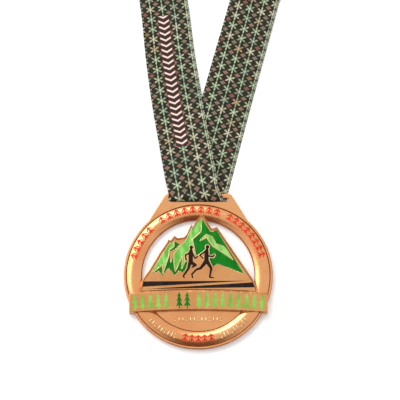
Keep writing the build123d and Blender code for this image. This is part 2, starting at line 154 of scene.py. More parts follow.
# Stitches of the lap, in mm: their rows' halves and steps, and a stitch's length, width and height
SEAM_HALF_WIDTH = 5.4
SEAM_HALF_HEIGHT = 9.0
STITCHES_ACROSS = 5
STITCHES_ALONG = 8
STEP_ACROSS = 2.2
STEP_ALONG = 2.3
STITCH_SIZE = (1.7, 0.42, 0.3)
STITCH_RISE = 0.07

# The ribbon's print, in mm
COLUMN = 6.2
PITCH = 5.37
FIRST_COLUMN = 5.0
STAR_REACH = 2.6
PETAL_WIDEST = 0.72
PETAL_ROOT = 0.18
PETAL_HALF = 0.43
LOZENGE_HALF_ACROSS = 1.65
LOZENGE_HALF_ALONG = 0.95
CHEVRON_MIDDLE = 11.2
CHEVRON_HALF = 2.9
CHEVRON_PITCH = 3.05
CHEVRON_STROKE = 0.37
CHEVRONS_FROM = -92.5
CHEVRONS_TO = -23.0
SELVEDGE = 24.15
HEM = 24.6
RIB_PITCH = 0.42
WARP_PITCH = 0.5

# Its inks: tints of stars, of their middles and of lozenges, then the ground's and the rest's
PALE_SAGE = (0.45, 0.54, 0.35)
CREAM = (0.6, 0.58, 0.41)
GREY_GREEN = (0.34, 0.44, 0.31)
STRAW = (0.5, 0.41, 0.25)
LIME_WHITE = (0.58, 0.64, 0.42)
YELLOW = (0.62, 0.56, 0.28)
ORANGE = (0.62, 0.3, 0.12)
TAUPE = (0.27, 0.21, 0.15)
DUSTY_ROSE = (0.33, 0.19, 0.14)
BRICK = (0.3, 0.1, 0.075)
OCHRE = (0.34, 0.2, 0.07)
STAR_TINTS = [(0.0, PALE_SAGE), (0.4, CREAM), (0.7, GREY_GREEN), (0.92, STRAW)]
MIDDLE_TINTS = [(0.0, LIME_WHITE), (0.72, YELLOW), (0.86, ORANGE), (0.95, PALE_SAGE)]
LOZENGE_TINTS = [(0.0, TAUPE), (0.5, DUSTY_ROSE), (0.86, BRICK), (0.95, OCHRE)]
GROUND_GREEN = (0.008, 0.014, 0.005, 1)
GROUND_BROWN = (0.02, 0.013, 0.007, 1)
GROUND_WORN = (0.024, 0.022, 0.01, 1)
LOZENGE_MIDDLE = (0.1, 0.06, 0.045, 1)
STRING_SAGE = (0.33, 0.4, 0.28, 1)
HEM_CREAM = (0.5, 0.5, 0.38, 1)
YARN_GREY = (0.16, 0.15, 0.12, 1)
STRIPE_BROWN = (0.035, 0.018, 0.014, 1)
STRIPE_RED = (0.3, 0.07, 0.045, 1)
STRIPE_WHITE = (0.8, 0.72, 0.66, 1)
THREAD_DEEP = (0.03, 0.035, 0.025, 1)
THREAD_BRIGHT = (0.09, 0.1, 0.07, 1)


# ---- Node helpers ----


def new_material(name):
    """A new material, its node tree and its surface shader."""
    material = bpy.data.materials.new(name)
    material.use_nodes = True
    tree = material.node_tree
    return material, tree, tree.nodes["Principled BSDF"]


def add(tree, kind, inputs=None, **settings):
    """Adds a node, with its settings and its inputs, which are values or other nodes' sockets."""
    node = tree.nodes.new(kind)
    for key, value in settings.items():
        setattr(node, key, value)
    for key, value in (inputs or {}).items():
        if isinstance(value, bpy.types.NodeSocket):
            tree.links.new(value, node.inputs[key])
        else:
            node.inputs[key].default_value = value
    return node


def calc(tree, operation, first, second=0.0):
    """One sum on numbers."""
    node = add(tree, "ShaderNodeMath", {0: first, 1: second}, operation=operation)
    return node.outputs[0]


def blend_colours(tree, factor, first, second):
    """Two colours mixed by a factor."""
    return add(tree, "ShaderNodeMix", {0: factor, 6: first, 7: second}, data_type="RGBA").outputs[2]


def spread(tree, value, low, high, start=0.0, end=1.0, kind="SMOOTHSTEP"):
    """A value from low to high carried over to start to end."""
    inputs = {"Value": value, 1: low, 2: high, 3: start, 4: end}
    return add(tree, "ShaderNodeMapRange", inputs, interpolation_type=kind).outputs[0]


def noise(tree, vector, size, detail=3.0, roughness=0.55):
    """Noise whose blotches are about this size, in metres."""
    inputs = {"Vector": vector, "Scale": 1 / size, "Detail": detail, "Roughness": roughness}
    return add(tree, "ShaderNodeTexNoise", inputs).outputs[0]


def bump(tree, height, depth, strength=1.0, normal=None):
    """A bump of this depth, in metres."""
    inputs = {"Height": height, "Distance": depth, "Strength": strength}
    if normal is not None:
        inputs["Normal"] = normal
    return add(tree, "ShaderNodeBump", inputs).outputs[0]


def wire(tree, shader, **sockets):
    """Joins values or sockets to the shader's named inputs."""
    for key, value in sockets.items():
        socket = shader.inputs[key.replace("_", " ")]
        if isinstance(value, bpy.types.NodeSocket):
            tree.links.new(value, socket)
        else:
            socket.default_value = value


def place_in_object(tree):
    """The object's own coordinates."""
    return add(tree, "ShaderNodeTexCoord").outputs["Object"]


# ---- Metal and enamel ----


def copper(name, warm, pale, roughness, relief, lines=()):
    """Copper plate over a casting: soft mottling, casting grain, and brown lines that are partly tarnish and
    partly painted shade in hollows and along edges.
    """
    material, tree, shader = new_material(name)
    place = place_in_object(tree)
    mottle = noise(tree, place, 0.011, 4.0)
    tone = blend_colours(tree, spread(tree, mottle, 0.35, 0.65), warm, pale)
    flat_place = add(tree, "ShaderNodeVectorMath", {0: place, 1: (1, 1, 0)}, operation="MULTIPLY").outputs[0]
    radius = add(tree, "ShaderNodeVectorMath", {0: flat_place}, operation="LENGTH").outputs["Value"]
    y = add(tree, "ShaderNodeSeparateXYZ", {0: place}).outputs[1]
    line_patchiness = spread(tree, noise(tree, place, 0.004, 3.0), 0.3, 0.6, 0.55, 1.0)
    # Each brown line is partly tarnish and partly painted shade: darker in the ring's groove and along its
    # window and rim edges, patchy, and faded out above a height
    for line, strength, highest_y in lines:
        off_line = calc(tree, "ABSOLUTE", calc(tree, "SUBTRACT", radius, line * MM))
        shade_and_tarnish = spread(tree, off_line, 0.0001, 0.0004, strength, 0.0)
        below = spread(tree, y, (highest_y - SHADE_AND_TARNISH_FADE) * MM, highest_y * MM, 1.0, 0.0)
        shade_and_tarnish = calc(tree, "MULTIPLY", shade_and_tarnish, below)
        tone = blend_colours(tree, calc(tree, "MULTIPLY", shade_and_tarnish, line_patchiness), tone, SHADE_AND_TARNISH_BROWN)
    grain = noise(tree, place, 0.0009, 5.0, 0.7)
    swell = noise(tree, place, 0.006, 2.0)
    shading = bump(tree, grain, relief, 0.5)
    shading = bump(tree, swell, 0.00006, 0.6, shading)
    wire(tree, shader, Base_Color=tone, Metallic=1.0, Normal=shading)
    wire(tree, shader, Roughness=spread(tree, grain, 0.3, 0.7, roughness - 0.04, roughness + 0.06))
    return material


def enamel(name, deep, bright, streak_angle, streaks):
    """Gloss enamel: colour that pools in soft streaks, and a faintly wavy skin."""
    material, tree, shader = new_material(name)
    place = place_in_object(tree)
    stretch = {"Vector": place, "Rotation": (0, 0, streak_angle), "Scale": (1, 0.3, 1)}
    turned = add(tree, "ShaderNodeMapping", stretch).outputs[0]
    pooled = noise(tree, turned, 0.0028, 3.0)
    speck = noise(tree, place, 0.0005, 2.0)
    colour = blend_colours(tree, spread(tree, pooled, 0.5 - streaks, 0.5 + streaks), deep, bright)
    colour = blend_colours(tree, spread(tree, speck, 0.5, 0.8, 0.0, 0.06), colour, bright)
    skin = noise(tree, place, 0.0022, 2.0)
    wire(tree, shader, Base_Color=colour, Normal=bump(tree, skin, 0.00004, 0.5), Specular_IOR_Level=0.1)
    wire(tree, shader, Roughness=spread(tree, skin, 0.3, 0.7, 0.22, 0.36), IOR=1.5)
    return material


# ---- Printed ribbon ----


def repeat(tree, value, size):
    """Signed distance from the nearest multiple of size, and which multiple it is."""
    nearest = calc(tree, "ROUND", calc(tree, "DIVIDE", value, size))
    return calc(tree, "SUBTRACT", value, calc(tree, "MULTIPLY", nearest, size)), nearest


def cell_random(tree, across, along, seed):
    """A random value for each cell of the print."""
    vector = add(tree, "ShaderNodeCombineXYZ", {0: across, 1: along, 2: seed}).outputs[0]
    return add(tree, "ShaderNodeTexWhiteNoise", {"Vector": vector}, noise_dimensions="3D").outputs[0]


def length_of(tree, x, y):
    """The length of (x, y)."""
    return calc(tree, "SQRT", calc(tree, "ADD", calc(tree, "MULTIPLY", x, x), calc(tree, "MULTIPLY", y, y)))


def darts(tree, x, y, reach):
    """Six petals round a middle, thin at their root and full near their tip: 1 on them and 0 off them."""
    widest = reach * PETAL_WIDEST
    total = None
    for turn in (0, 60, 120):
        cos = math.cos(math.radians(turn))
        sin = math.sin(math.radians(turn))
        along = calc(tree, "ADD", calc(tree, "MULTIPLY", y, cos), calc(tree, "MULTIPLY", x, sin))
        along = calc(tree, "ABSOLUTE", along)
        aside = calc(tree, "SUBTRACT", calc(tree, "MULTIPLY", x, cos), calc(tree, "MULTIPLY", y, sin))
        aside = calc(tree, "ABSOLUTE", aside)
        swelling = spread(tree, along, 0.0, widest, PETAL_ROOT, PETAL_HALF, "LINEAR")
        taper = spread(tree, along, widest, reach, 1.0, 0.0, "LINEAR")
        edge = calc(tree, "SUBTRACT", calc(tree, "MULTIPLY", swelling, taper), aside)
        petal = spread(tree, edge, -0.12, 0.12)
        total = petal if total is None else calc(tree, "MAXIMUM", total, petal)
    return total


def printed_satin():
    """Dyed satin: stars in columns, lozenges between them, a ladder of chevrons and a pale selvedge."""
    material, tree, shader = new_material("printed_satin")
    uv = add(tree, "ShaderNodeUVMap", uv_map="ribbon").outputs[0]
    axes = add(tree, "ShaderNodeSeparateXYZ", {0: uv}).outputs
    across = calc(tree, "MULTIPLY", axes[0], RIBBON_WIDTH)
    along = calc(tree, "MULTIPLY", axes[1], RIBBON_WIDTH)
    from_column = calc(tree, "SUBTRACT", across, FIRST_COLUMN)
    star_x, column = repeat(tree, from_column, COLUMN)
    aside = calc(tree, "ABSOLUTE", star_x)
    ink = add(tree, "ShaderNodeTexNoise", {"Vector": uv, "Scale": 11.0, "Detail": 3.0}).outputs[0]
    colour = dyed_ground(tree, aside, ink)
    colour = with_lozenges(tree, colour, from_column, along)
    colour = blend_colours(tree, spread(tree, aside, 0.08, 0.25, 0.55, 0.0), colour, STRING_SAGE)
    colour = with_stars(tree, colour, star_x, column, along, ink)
    colour = with_chevrons(tree, colour, across, along)
    colour = with_selvedge(tree, colour, across, along)

    # Weave: crosswise ribs and a little yarn-to-yarn tone
    rib = calc(tree, "SINE", calc(tree, "MULTIPLY", along, 2 * math.pi / RIB_PITCH))
    warp = calc(tree, "SINE", calc(tree, "MULTIPLY", across, 2 * math.pi / WARP_PITCH))
    weave = calc(tree, "ADD", rib, calc(tree, "MULTIPLY", warp, 0.5))
    yarn = add(tree, "ShaderNodeTexNoise", {"Vector": uv, "Scale": 60.0, "Detail": 3.0}).outputs[0]
    colour = blend_colours(tree, spread(tree, yarn, 0.4, 0.7, 0.0, 0.12), colour, YARN_GREY)
    shading = bump(tree, weave, 0.00003, 0.5)
    wire(tree, shader, Base_Color=colour, Normal=shading, Sheen_Weight=0.03, Sheen_Roughness=0.4)
    wire(tree, shader, Roughness=spread(tree, yarn, 0.3, 0.7, 0.5, 0.62), Specular_IOR_Level=0.1)
    return material


def dyed_ground(tree, aside, ink):
    """Green-black along the stars and brown between them."""
    ground = blend_colours(tree, spread(tree, aside, 1.0, 2.6), GROUND_GREEN, GROUND_BROWN)
    return blend_colours(tree, spread(tree, ink, 0.4, 0.7), ground, GROUND_WORN)


def with_lozenges(tree, colour, from_column, along):
    """Small lozenges with a darker middle, halfway between the stars both ways."""
    x, column = repeat(tree, calc(tree, "SUBTRACT", from_column, COLUMN / 2), COLUMN)
    y, row = repeat(tree, calc(tree, "SUBTRACT", along, PITCH / 2), PITCH)
    tint = stops(tree, cell_random(tree, column, row, 7.0), LOZENGE_TINTS)
    half_across = calc(tree, "DIVIDE", calc(tree, "ABSOLUTE", x), LOZENGE_HALF_ACROSS)
    half_along = calc(tree, "DIVIDE", calc(tree, "ABSOLUTE", y), LOZENGE_HALF_ALONG)
    span = calc(tree, "ADD", half_across, half_along)
    whole = spread(tree, span, 0.85, 1.05, 1.0, 0.0)
    middle = spread(tree, span, 0.3, 0.6, 1.0, 0.0)
    colour = blend_colours(tree, calc(tree, "MULTIPLY", whole, 0.9), colour, tint)
    return blend_colours(tree, calc(tree, "MULTIPLY", middle, 0.5), colour, LOZENGE_MIDDLE)


def with_stars(tree, colour, x, column, along, ink):
    """Six-petalled stars with a bright middle, their petals unevenly inked."""
    y, row = repeat(tree, along, PITCH)
    luck = cell_random(tree, column, row, 1.0)
    petals = calc(tree, "MULTIPLY", darts(tree, x, y, STAR_REACH), spread(tree, ink, 0.3, 0.7, 0.45, 1.0))
    colour = blend_colours(tree, petals, colour, stops(tree, luck, STAR_TINTS))
    middle = spread(tree, length_of(tree, x, y), 0.25, 0.6, 1.0, 0.0)
    return blend_colours(tree, calc(tree, "MULTIPLY", middle, 0.9), colour, stops(tree, luck, MIDDLE_TINTS))


def with_selvedge(tree, colour, across, along):
    """A pale ticked selvedge inside the ribbon's right edge."""
    selvedge = spread(tree, across, SELVEDGE, SELVEDGE + 0.2)
    ticks = spread(tree, calc(tree, "ABSOLUTE", repeat(tree, along, PITCH / 2)[0]), 0.2, 0.45)
    inside = spread(tree, across, HEM, HEM + 0.25, 1.0, 0.1)
    hem = calc(tree, "MULTIPLY", calc(tree, "MULTIPLY", selvedge, ticks), inside)
    return blend_colours(tree, calc(tree, "MULTIPLY", hem, 0.8), colour, HEM_CREAM)


def with_chevrons(tree, colour, across, along):
    """A ladder of white chevrons edged in red on a brown stripe, on part of the ribbon."""
    aside = calc(tree, "ABSOLUTE", calc(tree, "SUBTRACT", across, CHEVRON_MIDDLE))
    on_stripe = spread(tree, aside, CHEVRON_HALF, CHEVRON_HALF + 0.3, 1.0, 0.0)
    started = spread(tree, along, CHEVRONS_FROM - 0.2, CHEVRONS_FROM + 0.2)
    ended = spread(tree, along, CHEVRONS_TO - 0.2, CHEVRONS_TO + 0.2, 1.0, 0.0)
    shown = calc(tree, "MULTIPLY", on_stripe, calc(tree, "MULTIPLY", started, ended))
    slanted = calc(tree, "ADD", along, calc(tree, "MULTIPLY", aside, 0.55))
    off_line = calc(tree, "ABSOLUTE", repeat(tree, slanted, CHEVRON_PITCH)[0])
    white = spread(tree, off_line, CHEVRON_STROKE, CHEVRON_STROKE + 0.15, 1.0, 0.0)
    off_hem = spread(tree, aside, CHEVRON_HALF - 0.35, CHEVRON_HALF - 0.15, 1.0, 0.0)
    white = calc(tree, "MULTIPLY", white, off_hem)
    red = spread(tree, off_line, CHEVRON_STROKE + 0.1, CHEVRON_STROKE + 0.5, 1.0, 0.0)
    stripe = blend_colours(tree, red, STRIPE_BROWN, STRIPE_RED)
    stripe = blend_colours(tree, white, stripe, STRIPE_WHITE)
    return blend_colours(tree, shown, colour, stripe)


def stops(tree, value, colours):
    """A colour picked by the value, each kept up to the next."""
    ramp = add(tree, "ShaderNodeValToRGB", {0: value})
    ramp.color_ramp.interpolation = "CONSTANT"
    elements = ramp.color_ramp.elements
    while len(elements) < len(colours):
        elements.new(1.0)
    for element, (place, colour) in zip(elements, colours):
        element.position = place
        element.color = (*colour, 1)
    return ramp.outputs[0]


def twisted_thread():
    """Polyester sewing thread."""
    material, tree, shader = new_material("twisted_thread")
    place = place_in_object(tree)
    twist = {"Vector": place, "Scale": 900.0, "Distortion": 1.0}
    ply = add(tree, "ShaderNodeTexWave", twist, bands_direction="DIAGONAL").outputs[1]
    colour = blend_colours(tree, ply, THREAD_DEEP, THREAD_BRIGHT)
    wire(tree, shader, Base_Color=colour, Roughness=0.7, Normal=bump(tree, ply, 0.00008))
    return material


# ---- Ribbon mesh ----


def flat_row(left, right, left_along, right_along, normal, curl=0.0):
    """Points across the ribbon from left to right, each with its facing and its distance along."""
    row = []
    for step in range(ACROSS_STEPS + 1):
        share = step / ACROSS_STEPS
        lift = Vector((0, 0, curl * (2 * share - 1) ** 2))
        row.append((left.lerp(right, share) + lift, normal, left_along + (right_along - left_along) * share))
    return row


def build_strip(rows, name):
    """A closed mesh of the rows, with soft rims and the print on both sides."""
    half = RIBBON_THICKNESS / 2
    work = bmesh.new()
    print_map = work.loops.layers.uv.new("ribbon")
    rings = []
    for row in rows:
        side = (row[-1][0] - row[0][0]).normalized()
        outline = []
        for facing in (1, -1):
            order = range(ACROSS_STEPS + 1) if facing == 1 else range(ACROSS_STEPS, -1, -1)
            for step in order:
                place, normal, along = row[step]
                rim = step in (0, ACROSS_STEPS)
                inward = side * (RIM_SOFTNESS if step == 0 else -RIM_SOFTNESS) if rim else Vector()
                spot = place + inward + normal * facing * half * (RIM_THINNESS if rim else 1.0)
                outline.append((work.verts.new(spot * MM), step / ACROSS_STEPS, along / RIBBON_WIDTH))
            place, normal, along = row[-1] if facing == 1 else row[0]
            outline.append((work.verts.new(place * MM), 1.0 if facing == 1 else 0.0, along / RIBBON_WIDTH))
        rings.append(outline)
    count = len(rings[0])
    quads = []
    for first, second in zip(rings, rings[1:]):
        for index in range(count):
            after = (index + 1) % count
            quads.append([first[index], first[after], second[after], second[index]])
    for corners in quads + [rings[0], rings[-1]]:
        face = work.faces.new([corner[0] for corner in corners])
        face.smooth = len(corners) == 4
        for loop, corner in zip(face.loops, corners):
            loop[print_map].uv = (corner[1], corner[2])
    bmesh.ops.recalc_face_normals(work, faces=work.faces)
    mesh = bpy.data.meshes.new(name)
    work.to_mesh(mesh)
    work.free()
    piece = bpy.data.objects.new(name, mesh)
    bpy.context.collection.objects.link(piece)
    return piece


def smooth_between(points, place):
    """A smooth value between (place, value) points, flat at each."""
    for (start, low), (end, high) in zip(points, points[1:]):
        if place <= end:
            share = max(0.0, (place - start) / (end - start))
            return low + (high - low) * share * share * (3 - 2 * share)
    return points[-1][1]


def curve_through(points, y):
    """A smooth line's x and its slope at y, through (y, x) points."""
    last = len(points) - 1
    slopes = []
    for index in range(last + 1):
        before = points[max(index - 1, 0)]
        after = points[min(index + 1, last)]
        slopes.append((after[1] - before[1]) / (after[0] - before[0]))
    index = 0
    while index < last - 1 and y > points[index + 1][0]:
        index += 1
    (y0, x0), (y1, x1) = points[index], points[index + 1]
    span = y1 - y0
    t = (y - y0) / span
    start = (2 * t**3 - 3 * t**2 + 1) * x0 + (t**3 - 2 * t**2 + t) * span * slopes[index]
    end = (3 * t**2 - 2 * t**3) * x1 + (t**3 - t**2) * span * slopes[index + 1]
    slope = 6 * (t**2 - t) * (x0 - x1) / span
    slope += (3 * t**2 - 4 * t + 1) * slopes[index] + (3 * t**2 - 2 * t) * slopes[index + 1]
    return start + end, slope


def print_along(distance):
    """How far the print has run at this distance from the bar: it is drawn out where the tab pulls on it."""
    pulled = min(distance, PULLED_LENGTH)
    return pulled * PULLED_PRINT + distance - pulled


def strap_row(line, heights, widths, distance, facing):
    """One row across a strap, this far up from the bar."""
    y = BAR_Y + distance
    x, slope = curve_through(line, y)
    across = Vector((1, -slope, 0)).normalized()
    curl = STRAP_CURL * smooth_between([(30.0, 0.0), (100.0, 1.0)], distance)
    middle = Vector((x, y, smooth_between(heights, distance)))
    side = across * smooth_between(widths, distance)
    along = -print_along(distance) if facing == 1 else math.pi * TURN_RADIUS + print_along(distance)
    return flat_row(middle - side, middle + side, along, along, Vector((0, 0, facing)), curl)


def turn_row(along_turn):
    """One row of the turn round the bar, measured along it from its front."""
    whole = math.pi * TURN_RADIUS
    front = curve_through(FRONT_LINE, BAR_Y + TURN_LEAD)[0]
    back = curve_through(BACK_LINE, BAR_Y + TURN_LEAD)[0]
    middle = smooth_between([(-TURN_LEAD, front), (whole + TURN_LEAD, back)], along_turn)
    row = []
    for step in range(ACROSS_STEPS + 1):
        side = (2 * step / ACROSS_STEPS - 1) * TURN_HALF_WIDTH
        x = middle + side * math.cos(TURN_LEAN)
        reach = along_turn - side * math.sin(TURN_LEAN)
        angle = min(max(reach / TURN_RADIUS, 0.0), math.pi)
        away = -reach if reach < 0 else max(reach - whole, 0.0)
        normal = Vector((0, -math.sin(angle), math.cos(angle)))
        slack = Vector((0, -TURN_SLACK * math.sin(angle), 0))
        spot = Vector((x, BAR_Y + away, BAR_Z)) + normal * TURN_RADIUS + slack
        row.append((spot, normal, along_turn))
    return row


class Walker:
    """Lays rows down as it walks along the ribbon, folding it over as it goes."""

    def __init__(self, place, direction, across, facing, along, sign):
        self.rows = []
        self.place = place
        self.direction = direction
        self.across = across
        self.facing = facing
        self.along = along
        self.sign = sign

    def lay(self, place, height, along):
        """One row at a place, at this height."""
        side = self.across * RIBBON_WIDTH / 2
        middle = Vector((place.x, place.y, height))
        self.rows.append(flat_row(middle - side, middle + side, along, along, Vector((0, 0, self.facing))))

    def run(self, start, end, heights):
        """Flat from start to end, both measured ahead of the present place."""
        steps = max(1, round((end - start) / ROW_STEP))
        for step in range(steps + 1):
            ahead = start + (end - start) * step / steps
            place = self.place + self.direction * ahead
            self.lay(place, smooth_between(heights, ahead), self.along + self.sign * ahead)

    def move(self, ahead):
        """Makes a place ahead the present one."""
        self.place = self.place + self.direction * ahead
        self.along += self.sign * ahead

    def fold(self, crease, low, high):
        """Folds over at the present place, along a crease, from one height up to another."""
        half_crease = RIBBON_WIDTH / 2 / crease.dot(self.across)
        slant = half_crease * crease.dot(self.direction)
        outward = (self.direction - crease * crease.dot(self.direction)).normalized()
        radius = (high - low) / 2
        for step in range(FOLD_STEPS + 1):
            angle = math.pi * step / FOLD_STEPS
            rise = Vector((0, 0, low + radius * (1 - math.cos(angle))))
            middle = Vector((self.place.x, self.place.y, 0)) + outward * radius * math.sin(angle) + rise
            normal = (Vector((0, 0, math.cos(angle))) - outward * math.sin(angle)) * self.facing
            ends = (self.along - self.sign * slant, self.along + self.sign * slant)
            side = crease * half_crease
            self.rows.append(flat_row(middle - side, middle + side, *ends, normal))
        self.direction = crease * 2 * crease.dot(self.direction) - self.direction
        self.across = crease * 2 * crease.dot(self.across) - self.across
        self.facing = -self.facing


def folded_away(last_row, far_end, way_across, lap_end, lap_height, facing, sign):
    """The rest of a strap: three panels folded in line with it, a mitre, and its half of the crossing."""
    left, right = last_row[0][0], last_row[-1][0]
    start = (left + right) / 2
    start.z = 0
    direction = (far_end - start).normalized()
    across = Vector((direction.y, -direction.x, 0))
    walker = Walker(start, direction, across, facing, last_row[0][2], sign)
    heights = [RESTING + PANEL_STEP * layer for layer in range(4)]
    panel = (far_end - start).length - FOLD_ROOM
    walker.run(ROW_STEP, panel, [(0, heights[0])] * 2)
    walker.move(panel)
    walker.fold(walker.across.copy(), heights[0], heights[1])
    walker.run(ROW_STEP, panel - FOLD_ROOM, [(0, heights[1])] * 2)
    walker.move(panel - FOLD_ROOM)
    walker.fold(walker.across.copy(), heights[1], heights[2])
    to_crossing = (CROSSING_Y - walker.place.y) / walker.direction.y
    crossing_way = Vector((way_across, 0, 0))
    crease = (walker.direction + crossing_way).normalized()
    if crease.dot(walker.across) < 0:
        crease = -crease
    slant = abs(RIBBON_WIDTH / 2 / crease.dot(walker.across) * crease.dot(walker.direction))
    walker.run(ROW_STEP, to_crossing - slant - MITRE_ROOM, [(0, heights[2])] * 2)
    walker.move(to_crossing)
    top = heights[3] - MITRE_SINK
    walker.fold(crease, heights[2], top)
    reach = abs(lap_end - walker.place.x)
    dropped = STACK_CLEAR + CROSSING_DROP
    drop = [(0.0, top), (STACK_CLEAR, top), (dropped, lap_height), (reach + 1, lap_height)]
    walker.run(slant + MITRE_ROOM, reach, drop)
    return walker.rows


def neck_ribbon():
    """The whole ribbon as one strip, from its lap on the crossing round the bar and back."""
    front = []
    back = []
    distance = TURN_LEAD
    while distance < FRONT_NEAR:
        front.append(strap_row(FRONT_LINE, FRONT_HEIGHTS, FRONT_HALF_WIDTHS, distance, 1))
        distance += ROW_STEP
    distance = TURN_LEAD
    while distance < BACK_NEAR:
        back.append(strap_row(BACK_LINE, [(0, RESTING)] * 2, BACK_HALF_WIDTHS, distance, -1))
        distance += ROW_STEP
    front += folded_away(front[-1], Vector((*LEFT_FAR_END, 0)), 1, LAP_MIDDLE + LAP_HALF, RESTING, 1, -1)
    lapped = RESTING + RIBBON_THICKNESS + LAP_GAP
    back += folded_away(back[-1], Vector((*RIGHT_FAR_END, 0)), -1, LAP_MIDDLE - LAP_HALF, lapped, -1, 1)
    turn = []
    whole = math.pi * TURN_RADIUS
    for step in range(1, TURN_STEPS):
        turn.append(turn_row(-TURN_LEAD + (whole + 2 * TURN_LEAD) * step / TURN_STEPS))
    return build_strip(front[::-1] + turn + back, "neck_ribbon")


def lap_stitches():
    """Running stitches in a rectangle that hold the ribbon's lapped ends."""
    spots = []
    for side in (-1, 1):
        for index in range(STITCHES_ACROSS):
            x = LAP_MIDDLE + (index - (STITCHES_ACROSS - 1) / 2) * STEP_ACROSS
            spots.append((x, CROSSING_Y + side * SEAM_HALF_HEIGHT, 0))
        for index in range(STITCHES_ALONG):
            y = CROSSING_Y + (index - (STITCHES_ALONG - 1) / 2) * STEP_ALONG
            spots.append((LAP_MIDDLE + side * SEAM_HALF_WIDTH, y, 90))
    top = RESTING + RIBBON_THICKNESS * 1.5 + STITCH_RISE
    return studs("lap_stitches", [(x, y, top, angle, *STITCH_SIZE) for x, y, angle in spots])


# ---- Raised details ----


def studs(name, spots):
    """Rounded studs, each (x, y, z, turn, length, width, height) in mm, joined in one piece."""
    bpy.ops.object.select_all(action="DESELECT")
    bpy.ops.mesh.primitive_uv_sphere_add(segments=12, ring_count=8, radius=0.5 * MM)
    pattern = bpy.context.object
    pieces = []
    for x, y, z, turn, length, width, height in spots:
        stud = pattern.copy()
        stud.data = pattern.data.copy()
        stud.location = (x * MM, y * MM, z * MM)
        stud.rotation_euler = (0, 0, math.radians(turn))
        stud.scale = (length, width, height)
        bpy.context.collection.objects.link(stud)
        pieces.append(stud)
    bpy.data.objects.remove(pattern)
    bpy.ops.object.select_all(action="DESELECT")
    for stud in pieces:
        stud.select_set(True)
    bpy.context.view_layer.objects.active = pieces[0]
    bpy.ops.object.join()
    piece = bpy.context.object
    piece.name = name
    bpy.ops.object.transform_apply(location=True, rotation=True, scale=True)
    bpy.ops.object.shade_smooth()
    return piece


def top_outlines(node):
    """The closed outlines of a CAD node's highest flat face, longest first, in metres."""
    work = bmesh.new()
    work.from_mesh(bpy.data.objects[node].data)
    bmesh.ops.remove_doubles(work, verts=work.verts, dist=1e-7)
    top = max(vert.co.z for vert in work.verts)
    flat = {face for face in work.faces if all(abs(vert.co.z - top) < 2e-6 for vert in face.verts)}
    ahead = {}
    for edge in work.edges:
        sides = [face for face in edge.link_faces if face in flat]
        if len(sides) == 1:
            for vert, other in (edge.verts, reversed(edge.verts)):
                ahead.setdefault(vert, []).append(other)
    outlines = []
    unused = set(ahead)
    while unused:
        first = min(unused, key=by_place)
        unused.discard(first)
        loop = [first]
        while True:
            following = [vert for vert in ahead[loop[-1]] if vert in unused]
            if not following:
                break
            following = min(following, key=by_place)
            unused.discard(following)
            loop.append(following)
        outlines.append([vert.co.copy() for vert in loop])
    work.free()
    return sorted(outlines, key=outline_length, reverse=True)


def by_place(vert):
    """A vertex's place, to pick vertices in the same order each run."""
    return tuple(vert.co)


def outline_length(points):
    """An outline's length round."""
    return sum((a - b).length for a, b in zip(points, points[1:] + points[:1]))


def inset(points, distance):
    """A closed outline drawn in by this distance, in metres."""
    area = sum(a.x * b.y - b.x * a.y for a, b in zip(points, points[1:] + points[:1]))
    inward = math.copysign(distance, area)
    drawn_in = []
    for before, point, after in zip(points[-1:] + points[:-1], points, points[1:] + points[:1]):
        ways = [(point - before).to_2d().normalized(), (after - point).to_2d().normalized()]
        sides = [Vector((-way.y, way.x)) for way in ways]
        middle = (sides[0] + sides[1]).normalized()
        reach = inward / max(middle.dot(sides[0]), SHARPEST_INSET)
        drawn_in.append(Vector((point.x + middle.x * reach, point.y + middle.y * reach, point.z)))
    return drawn_in


def rounded_line(name, outlines, radius, height):
    """A half-sunk round metal line along closed outlines, as one mesh."""
    curve = bpy.data.curves.new(name, "CURVE")
    curve.dimensions = "3D"
    curve.bevel_depth = radius * MM
    curve.bevel_resolution = 2
    for points in outlines:
        spline = curve.splines.new("POLY")
        spline.points.add(len(points) - 1)
        for point, place in zip(spline.points, points):
            point.co = (place.x, place.y, height * MM, 1)
        spline.use_cyclic_u = True
    piece = bpy.data.objects.new(name, curve)
    bpy.context.collection.objects.link(piece)
    bpy.ops.object.select_all(action="DESELECT")
    piece.select_set(True)
    bpy.context.view_layer.objects.active = piece
    bpy.ops.object.convert(target="MESH")
    piece = bpy.context.object
    bpy.ops.object.shade_smooth()
    return piece


# ---- Stage ----


def make_camera():
    """A long lens above and a little below the medal's foot."""
    data = bpy.data.cameras.new("camera")
    data.lens = CAMERA_LENS
    data.sensor_width = 36.0
    data.clip_start = 0.01
    camera = bpy.data.objects.new("camera", data)
    tilt = math.radians(CAMERA_ELEVATION)
    away = Vector((0, -math.cos(tilt), math.sin(tilt)))
    camera.location = CAMERA_TARGET + away * CAMERA_DISTANCE
    camera.rotation_euler = (math.radians(90) - tilt, 0, 0)
    bpy.context.collection.objects.link(camera)
    bpy.context.scene.camera = camera


def make_floor():
    """A plain pale floor."""
    bpy.ops.object.select_all(action="DESELECT")
    bpy.ops.mesh.primitive_plane_add(size=FLOOR_SIZE, location=(0, 0, 0))
    floor = bpy.context.object
    floor.name = "floor"
    material, tree, shader = new_material("pale_floor")
    wire(tree, shader, Base_Color=FLOOR_WHITE, Roughness=0.9, Specular_IOR_Level=0.1)
    wire(tree, shader, Emission_Color=(1, 1, 1, 1), Emission_Strength=FLOOR_GLOW)
    floor.data.materials.append(material)


def soft_light(name, direction, distance, size, power):
    """A white softbox that faces the medal."""
    data = bpy.data.lights.new(name, "AREA")
    data.shape = "RECTANGLE"
    data.size, data.size_y = size
    data.energy = power
    light = bpy.data.objects.new(name, data)
    away = Vector(direction).normalized()
    light.location = away * distance
    light.rotation_euler = away.to_track_quat("Z", "Y").to_euler()
    bpy.context.collection.objects.link(light)


